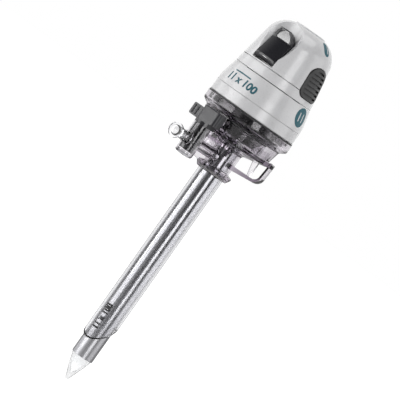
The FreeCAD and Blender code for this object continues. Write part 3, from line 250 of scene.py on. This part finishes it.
def clear_plastic(name, tint, roughness, ior=CLEAR_IOR, smoke=None):
    """Clear moulded plastic with a faint haze, and a smoke tint that deepens with its thickness."""
    made, tree, shader = new_material(name)
    dip = [CLEAR_DIP * part for part in tint]
    tree.links.new(blend_colours(tree, noise(tree, CLEAR_SCALE), dip, tint), shader.inputs["Base Color"])
    haze = noise(tree, HAZE_SCALE, FINE_DETAIL)
    vary_roughness(tree, shader, haze, roughness, roughness * HAZE_SPREAD)
    bump(tree, shader, noise(tree, RIPPLE_SCALE, FINE_DETAIL), RIPPLE_DEPTH, RIPPLE_BUMP)
    shader.inputs["Transmission Weight"].default_value = 1.0
    shader.inputs["IOR"].default_value = ior
    if smoke:
        depth = tree.nodes.new("ShaderNodeVolumeAbsorption")
        depth.inputs["Color"].default_value = (*smoke, 1)
        depth.inputs["Density"].default_value = SMOKE_DENSITY
        tree.links.new(depth.outputs["Volume"], tree.nodes["Material Output"].inputs["Volume"])
    return made


def rubber(name, tones, roughness):
    """Rubber with a mottled colour, an uneven sheen and fine pores."""
    made, tree, shader = new_material(name)
    tree.links.new(blend_colours(tree, noise(tree, MOTTLE_SCALE), *tones), shader.inputs["Base Color"])
    vary_roughness(tree, shader, noise(tree, SHEEN_SCALE), roughness, SHEEN_SPREAD)
    bump(tree, shader, noise(tree, PORE_SCALE), PORE_DEPTH)
    return made


def metal(name, tones, roughness, stretch=(1, 1, 1)):
    """Metal with fine streaks along the stretch."""
    made, tree, shader = new_material(name)
    streak = noise(tree, STREAK_SCALE, roughness=STREAK_CONTRAST, stretch=stretch)
    tree.links.new(blend_colours(tree, streak, *tones), shader.inputs["Base Color"])
    vary_roughness(tree, shader, streak, roughness, roughness * STREAK_SPREAD)
    bump(tree, shader, streak, STREAK_DEPTH, STREAK_BUMP)
    shader.inputs["Metallic"].default_value = 1.0
    return made


WHITE_TONES = ((0.58, 0.58, 0.59), (0.64, 0.64, 0.65))
WHITE_GLOSS = {"roughness": 0.30, "coat": 1.0, "coat_roughness": 0.20}
LEVER_TONES = ((0.012, 0.012, 0.015), (0.017, 0.017, 0.021))
BUTTON_TONES = ((0.022, 0.022, 0.023), (0.032, 0.032, 0.033))
DARK_TONES = ((0.016, 0.016, 0.018), (0.024, 0.024, 0.027))
KEY_TONES = ((0.018, 0.018, 0.022), (0.026, 0.026, 0.030))
TEAL_TONES = ((0.008, 0.090, 0.120), (0.012, 0.115, 0.150))
MARK_TONES = ((0.020, 0.020, 0.022), (0.030, 0.030, 0.033))
BLACK_RUBBER_TONES = ((0.010, 0.010, 0.011), (0.018, 0.018, 0.020))
SEAL_RUBBER_TONES = ((0.32, 0.26, 0.18), (0.38, 0.31, 0.22))
SEAL_FILM_TONES = ((0.55, 0.55, 0.53), (0.62, 0.62, 0.60))
SHAFT_TONES = ((0.45, 0.45, 0.47), (0.54, 0.54, 0.56))
STEEL_TONES = ((0.45, 0.45, 0.46), (0.56, 0.56, 0.57))
SMOKE_TINT = (0.93, 0.925, 0.935)
SMOKE_COLOUR = (0.33, 0.25, 0.35)
CLEAR_TINT = (0.93, 0.93, 0.94)
CLEAR_COLOUR = (0.45, 0.45, 0.47)
TIP_TINT = (0.95, 0.955, 0.96)

# The lock ring has painted shade: its white is painted dark where it sits inside the clear rim, under the
# rim's top.
PAINTED_RING_SHADE = (0.022, 0.022, 0.024)
RIM_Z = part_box("valve_housing")[1][2]

WHITE = plastic("white_plastic", WHITE_TONES, **WHITE_GLOSS)
# Painted shade: the lock ring's white is painted dark below the top of the clear rim.
RING = plastic("lock_ring_painted_shade", WHITE_TONES, **WHITE_GLOSS, below=(PAINTED_RING_SHADE, RIM_Z))
LEVER = plastic("lever_plastic", LEVER_TONES, 0.13, depth=0.003 * MM, coat=0.3)
BUTTON = plastic("button_plastic", BUTTON_TONES, 0.40, depth=0.020 * MM)
DARK = plastic("dark_plastic", DARK_TONES, 0.36, depth=0.020 * MM)
KEY = plastic("key_plastic", KEY_TONES, 0.20, depth=0.005 * MM)
TEAL = plastic("teal_print", TEAL_TONES, 0.5)
MARK = plastic("dark_print", MARK_TONES, 0.45)
SMOKE = clear_plastic("smoke_clear", SMOKE_TINT, 0.05, smoke=SMOKE_COLOUR)
CLEAR = clear_plastic("clear", CLEAR_TINT, 0.04, smoke=CLEAR_COLOUR)
TIP = clear_plastic("tip_plastic", TIP_TINT, 0.28, ior=1.36)
BLACK_RUBBER = rubber("black_rubber", BLACK_RUBBER_TONES, 0.5)
SEAL_RUBBER = rubber("seal_rubber", SEAL_RUBBER_TONES, 0.45)
SEAL_FILM = rubber("seal_film", SEAL_FILM_TONES, 0.38)
SHAFT = metal("polished_tube", SHAFT_TONES, 0.22, stretch=DRAWN)
STEEL = metal("spring_steel", STEEL_TONES, 0.22)

FINISH = {
    "smoke_clear": SMOKE,
    "clear": CLEAR,
    "black_rubber": BLACK_RUBBER,
    "dark_plastic": DARK,
    "lever_plastic": LEVER,
    "button_plastic": BUTTON,
    "white_plastic": WHITE,
    "seal_film": SEAL_FILM,
    "seal_rubber": SEAL_RUBBER,
    "steel": STEEL,
    "shaft": SHAFT,
    "tip_plastic": TIP,
}
OWN_FINISH = {
    "stopcock_key": KEY,
    "seal_lock_ring": RING,
    "sleeve_o_ring": SEAL_FILM,
    "scope_guide": WHITE,
}


def dress_nodes():
    """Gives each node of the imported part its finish."""
    for row in frame["record"]["subparts"]:
        finish = OWN_FINISH.get(row["node"], FINISH[row["material_slot"]])
        for slot in nodes[row["node"]].material_slots:
            slot.material = finish


dress_nodes()


def add_piece(name, mesh, body):
    """Puts a new piece of the part in the scene."""
    piece = bpy.data.objects.new(name, mesh)
    bpy.context.collection.objects.link(piece)
    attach(piece, body)
    return piece


# The scope lock's lever. Its face leans back up to a bend and comes forward from there to the lip at the
# top, where an inset dish holds the facet.

LEVER_NODE = "scope_lock_lever"
LEVER_LOW_Y = -21.4 * MM
LEVER_LEAN = math.tan(math.radians(20.5))
LEVER_BEND = 13.6 * MM
LEVER_LIP = 0.9 * MM
CROWN_R = 22.0 * MM
CROWN_DEPTH = 2.2 * MM
CROWN_STEP = 0.4 * MM
SHARP = math.radians(32.0)
DISH_DEPTH = 0.7 * MM
DISH_HALF = 4.35 * MM
DISH_REACH = 5.5 * MM
DISH_LEAN = math.tan(math.radians(8.0))
DISH_NEAR = 0.04 * MM
WELD = 0.002 * MM
CUT_NEAR = 0.01 * MM


def cut_lengthwise(work, low_x, high_x, step):
    """Cuts a mesh into strips across its width, so that it can bow."""
    cuts = int((high_x - low_x) / step)
    for count in range(1, cuts):
        x = low_x + (high_x - low_x) * count / cuts
        everything = work.verts[:] + work.edges[:] + work.faces[:]
        bmesh.ops.bisect_plane(work, geom=everything, plane_co=(x, 0, 0), plane_no=(1, 0, 0), dist=CUT_NEAR)


def crowned_lever():
    """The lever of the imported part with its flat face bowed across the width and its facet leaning."""
    low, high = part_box(LEVER_NODE)
    bend_z = low[2] + LEVER_BEND
    bend_y = LEVER_LOW_Y + LEVER_BEND * LEVER_LEAN
    dish_y = bend_y + DISH_DEPTH
    dish_z = high[2] - DISH_REACH
    work = bmesh.new()
    work.from_mesh(nodes[LEVER_NODE].data)
    bmesh.ops.remove_doubles(work, verts=work.verts, dist=WELD)
    cut_lengthwise(work, low[0], high[0], CROWN_STEP)
    for vertex in work.verts:
        x, y, z = vertex.co
        if abs(y - dish_y) < DISH_NEAR and abs(x) < DISH_HALF and z > bend_z - DISH_HALF:
            vertex.co.y -= DISH_LEAN * max(0.0, z - dish_z)
            continue
        if z < bend_z:
            face_y = LEVER_LOW_Y + (z - low[2]) * LEVER_LEAN
        else:
            face_y = bend_y - LEVER_LIP * (z - bend_z) / (high[2] - bend_z)
        hold = max(0.0, 1.0 - max(0.0, y - face_y) / CROWN_DEPTH)
        vertex.co.y += hold * x ** 2 / (2 * CROWN_R)
    for face in work.faces:
        face.smooth = True
    for edge in work.edges:
        if len(edge.link_faces) == 2 and edge.calc_face_angle() > SHARP:
            edge.smooth = False
    mesh = bpy.data.meshes.new("lever_body")
    work.to_mesh(mesh)
    work.free()
    mesh.materials.append(LEVER)
    piece = add_piece("lever_body", mesh, "lever")
    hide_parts(LEVER_NODE)


crowned_lever()


# The springs behind the buttons


def leaf_spring(side):
    """A spring behind a button: a copy of the imported node's mesh, carried with the obturator in place of
    the node.
    """
    node = "button_spring_" + side
    piece = add_piece("leaf_spring_" + side, nodes[node].data.copy(), "obturator")
    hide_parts(node)
    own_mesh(piece)


for side in ("right", "left"):
    leaf_spring(side)


# Printed marks: plain figures, bars, a disc and a dot

PRINT_LIFT = 0.03 * MM
PRINT_THICK = 0.05 * MM
PRINT_EDGE = 1.0 * MM
PRINT_STAND = 4.0 * MM
PRINT_REACH = 60.0 * MM
FIGURES = "11 x 100"
FIGURE_SHARE = 0.72
FIGURE_WEIGHT = 0.19 * MM


def surface(node):
    """A finder for the outer surface of a node: the first hit on the way from a spot along a direction."""
    mesh = nodes[node].data
    tree = BVHTree.FromPolygons([v.co for v in mesh.vertices], [p.vertices for p in mesh.polygons])

    def find(spot, along):
        hit, normal, _, _ = tree.ray_cast(spot, along)
        if hit is None:
            raise ValueError("a print misses " + node)
        return hit, normal if normal.dot(along) < 0 else -normal

    return find


def flat_shape(loops):
    """A flat curve from closed loops: the first is the outline, the others are holes."""
    curve = bpy.data.curves.new("outline", "CURVE")
    curve.dimensions = "2D"
    curve.fill_mode = "BOTH"
    for loop in loops:
        spline = curve.splines.new("POLY")
        spline.points.add(len(loop) - 1)
        for point, (a, b) in zip(spline.points, loop):
            point.co = (a, b, 0, 1)
        spline.use_cyclic_u = True
    return curve


def capsule(width, height, middle=0.0, steps=10):
    """A loop: a bar with round ends, its middle this far to the right."""
    radius = min(width, height) / 2
    half_a = width / 2 - radius
    half_b = height / 2 - radius
    corners = ((half_a, half_b), (-half_a, half_b), (-half_a, -half_b), (half_a, -half_b))
    points = []
    for corner, (a, b) in enumerate(corners):
        for count in range(steps + 1):
            turn = math.radians(90 * (corner + count / steps))
            points.append((middle + a + radius * math.cos(turn), b + radius * math.sin(turn)))
    return points


def words(text, height):
    """Plain figures, centred on their middle."""
    curve = bpy.data.curves.new("figures", "FONT")
    curve.body = text
    curve.size = height / FIGURE_SHARE
    curve.align_x = "CENTER"
    curve.align_y = "CENTER"
    curve.offset = FIGURE_WEIGHT
    return curve


def fine_mesh(name, curve):
    """The mesh of a flat curve, and its bmesh in triangles small enough to follow a bowed surface."""
    flat = bpy.data.objects.new(name + "_flat", curve)
    bpy.context.collection.objects.link(flat)
    bpy.context.view_layer.update()
    mesh = bpy.data.meshes.new_from_object(flat)
    bpy.data.objects.remove(flat)
    work = bmesh.new()
    work.from_mesh(mesh)
    bmesh.ops.remove_doubles(work, verts=work.verts, dist=WELD)
    bmesh.ops.triangulate(work, faces=work.faces[:])
    for _ in range(2):
        long_edges = [edge for edge in work.edges if edge.calc_length() > PRINT_EDGE]
        bmesh.ops.subdivide_edges(work, edges=long_edges, cuts=2)
        bmesh.ops.triangulate(work, faces=work.faces[:])
    return mesh, work


def printed(name, node, body, curve, finish, aim, turn=0.0):
    """A thin print laid on a node: a flat shape, turned, at a heading, a height and a rise of the aim."""
    heading, z, rise = aim
    mesh, work = fine_mesh(name, curve)
    find = surface(node)
    outward = direction(heading, rise)
    centre, normal = find(Vector((0, 0, z)) + outward * PRINT_REACH, -outward)
    right = Vector((0, 0, 1)).cross(normal).normalized()
    up = normal.cross(right)
    angle = math.radians(turn)
    for vertex in work.verts:
        a = vertex.co.x * math.cos(angle) - vertex.co.y * math.sin(angle)
        b = vertex.co.x * math.sin(angle) + vertex.co.y * math.cos(angle)
        spot, facing = find(centre + right * a + up * b + normal * PRINT_STAND, -normal)
        vertex.co = spot + facing * PRINT_LIFT
    bmesh.ops.recalc_face_normals(work, faces=work.faces)
    work.normal_update()
    if sum((face.normal.dot(normal) for face in work.faces), 0.0) < 0:
        bmesh.ops.reverse_faces(work, faces=work.faces)
    bmesh.ops.solidify(work, geom=work.faces[:], thickness=PRINT_THICK)
    work.to_mesh(mesh)
    work.free()
    mesh.materials.clear()
    mesh.materials.append(finish)
    add_piece(name, mesh, body)


cap_bar = [capsule(11.2 * MM, 0.7 * MM)]
cap_disc = [
    capsule(9.6 * MM, 9.8 * MM, steps=16),
    capsule(0.9 * MM, 4.6 * MM, -1.6 * MM),
    capsule(0.9 * MM, 4.6 * MM, 1.6 * MM),
]
dome_bar = [capsule(4.4 * MM, 7.6 * MM), capsule(0.7 * MM, 4.6 * MM, 0.9 * MM)]
sleeve_dot = [capsule(0.9 * MM, 0.9 * MM)]
cap_figures = words(FIGURES, 3.9 * MM)
sleeve_figures = words(FIGURES, 2.9 * MM)
PRINTS = [
    # name, node, body, shape, finish, (heading, height, rise), and a turn where it has one
    ("cap_figures", "seal_cap_shell", "seal_cap", cap_figures, TEAL, (-1.5, 45.1 * MM, 0.0)),
    ("cap_bar", "seal_cap_shell", "seal_cap", flat_shape(cap_bar), TEAL, (-6.7, 48.6 * MM, 0.0)),
    ("cap_disc", "seal_cap_shell", "seal_cap", flat_shape(cap_disc), TEAL, (94.0, 47.2 * MM, 0.0)),
    ("dome_bar", "handle_cap", "obturator", flat_shape(dome_bar), TEAL, (86.0, 66.0 * MM, 47.0)),
    ("sleeve_figures", "cannula_sleeve", "root", sleeve_figures, MARK, (6.0, -86.3 * MM, 0.0), 90.0),
    ("sleeve_dot", "cannula_sleeve", "root", flat_shape(sleeve_dot), MARK, (95.0, -88.4 * MM, 0.0)),
]
for row in PRINTS:
    printed(*row)


# Studio, floor and camera


def step_down(tree, value, start, end, high, low):
    """Falls smoothly from high to low as the value goes from start to end."""
    node = tree.nodes.new("ShaderNodeMapRange")
    node.interpolation_type = "SMOOTHSTEP"
    node.inputs["From Min"].default_value = start
    node.inputs["From Max"].default_value = end
    node.inputs["To Min"].default_value = high
    node.inputs["To Max"].default_value = low
    tree.links.new(value, node.inputs["Value"])
    return node.outputs["Result"]


def towards_camera(tree, coordinates):
    """1 on the side of the photograph's camera, -1 straight behind the part."""
    unit = tree.nodes.new("ShaderNodeVectorMath")
    unit.operation = "NORMALIZE"
    tree.links.new(coordinates, unit.inputs[0])
    facing = tree.nodes.new("ShaderNodeVectorMath")
    facing.operation = "DOT_PRODUCT"
    facing.inputs[1].default_value = direction(VIEW_AZIMUTH, 0.0)
    tree.links.new(unit.outputs["Vector"], facing.inputs[0])
    return facing.outputs["Value"]


def mix_values(tree, factor, low, high):
    node = tree.nodes.new("ShaderNodeMix")
    tree.links.new(factor, node.inputs["Factor"])
    for name, value in (("A", low), ("B", high)):
        if isinstance(value, float):
            node.inputs[name].default_value = value
        else:
            tree.links.new(value, node.inputs[name])
    return node.outputs["Result"]


def make_world():
    """A backdrop that is white to the camera, and behind the part to metal and clear plastic too."""
    world = bpy.data.worlds.new("studio")
    bpy.context.scene.world = world
    world.use_nodes = True
    tree = world.node_tree
    tree.nodes.clear()
    path = tree.nodes.new("ShaderNodeLightPath")
    facing = towards_camera(tree, tree.nodes.new("ShaderNodeTexCoord").outputs["Generated"])
    gloss = step_down(tree, facing, *GLOSS_EDGE, BACK_GLOSS, FRONT_GLOSS)
    through = step_down(tree, facing, *THROUGH_EDGE, BACK_THROUGH, FRONT_THROUGH)
    strength = mix_values(tree, path.outputs["Is Glossy Ray"], AMBIENT, gloss)
    strength = mix_values(tree, path.outputs["Is Transmission Ray"], strength, through)
    strength = mix_values(tree, path.outputs["Is Camera Ray"], strength, 1.0)
    background = tree.nodes.new("ShaderNodeBackground")
    background.inputs["Color"].default_value = (1, 1, 1, 1)
    tree.links.new(strength, background.inputs["Strength"])
    output = tree.nodes.new("ShaderNodeOutputWorld")
    tree.links.new(background.outputs["Background"], output.inputs["Surface"])


def floor_material():
    """Pale and matt: it glows to the camera, less so near the part, and behind the part to clear plastic."""
    made, tree, shader = new_material("pale_floor")
    shader.inputs["Base Color"].default_value = (*FLOOR_COLOUR, 1)
    shader.inputs["Roughness"].default_value = FLOOR_ROUGHNESS
    shader.inputs["Specular IOR Level"].default_value = FLOOR_SPECULAR
    path = tree.nodes.new("ShaderNodeLightPath")
    place = place_nodes(tree)
    away = tree.nodes.new("ShaderNodeVectorMath")
    away.operation = "LENGTH"
    tree.links.new(place, away.inputs[0])
    lift = step_down(tree, away.outputs["Value"], FLOOR_NEAR, FLOOR_FAR, FLOOR_SHADE, 1.0)
    through = step_down(tree, towards_camera(tree, place), *THROUGH_EDGE, BACK_THROUGH, 0.0)
    glow = mix_values(tree, path.outputs["Is Transmission Ray"], 0.0, through)
    glow = mix_values(tree, path.outputs["Is Camera Ray"], glow, lift)
    tree.links.new(glow, shader.inputs["Emission Strength"])
    shader.inputs["Emission Color"].default_value = (1, 1, 1, 1)
    return made


def make_floor():
    z = cad_box[0][2] - FLOOR_DROP
    half = FLOOR_SIZE / 2
    mesh = bpy.data.meshes.new("floor")
    corners = [(-half, -half, z), (half, -half, z), (half, half, z), (-half, half, z)]
    mesh.from_pydata(corners, [], [(0, 1, 2, 3)])
    mesh.materials.append(floor_material())
    floor = bpy.data.objects.new("floor", mesh)
    bpy.context.collection.objects.link(floor)


def make_panels():
    centre = Vector((0, 0, VIEW_HEIGHT))
    for name, azimuth, elevation, distance, width, height, radiance, rays in PANELS:
        light = bpy.data.lights.new(name, "AREA")
        light.shape = "RECTANGLE"
        light.size = width
        light.size_y = height
        light.energy = radiance * math.pi * width * height
        lamp = bpy.data.objects.new(name, light)
        bpy.context.collection.objects.link(lamp)
        outward = direction(VIEW_AZIMUTH + azimuth, elevation)
        lamp.location = centre + outward * distance
        lamp.rotation_euler = outward.to_track_quat("Z", "Y").to_euler()
        lamp.visible_camera = False
        for ray in RAYS:
            setattr(lamp, "visible_" + ray, ray in rays)


def make_camera():
    data = bpy.data.cameras.new("camera")
    camera = bpy.data.objects.new("camera", data)
    bpy.context.collection.objects.link(camera)
    outward = direction(VIEW_AZIMUTH, VIEW_ELEVATION)
    turn = math.radians(VIEW_AZIMUTH)
    right = Vector((math.cos(turn), math.sin(turn), 0))
    target = right * VIEW_RIGHT + Vector((0, 0, VIEW_HEIGHT))
    camera.location = target + outward * VIEW_DISTANCE
    roll = Quaternion((0, 0, 1), math.radians(VIEW_ROLL))
    camera.rotation_mode = "QUATERNION"
    camera.rotation_quaternion = outward.to_track_quat("Z", "Y") @ roll
    data.sensor_width = SENSOR
    data.lens = SENSOR * VIEW_DISTANCE / VIEW_WIDTH
    bpy.context.scene.camera = camera


make_world()
make_floor()
make_panels()
make_camera()
bpy.context.scene.view_settings.view_transform = "Standard"
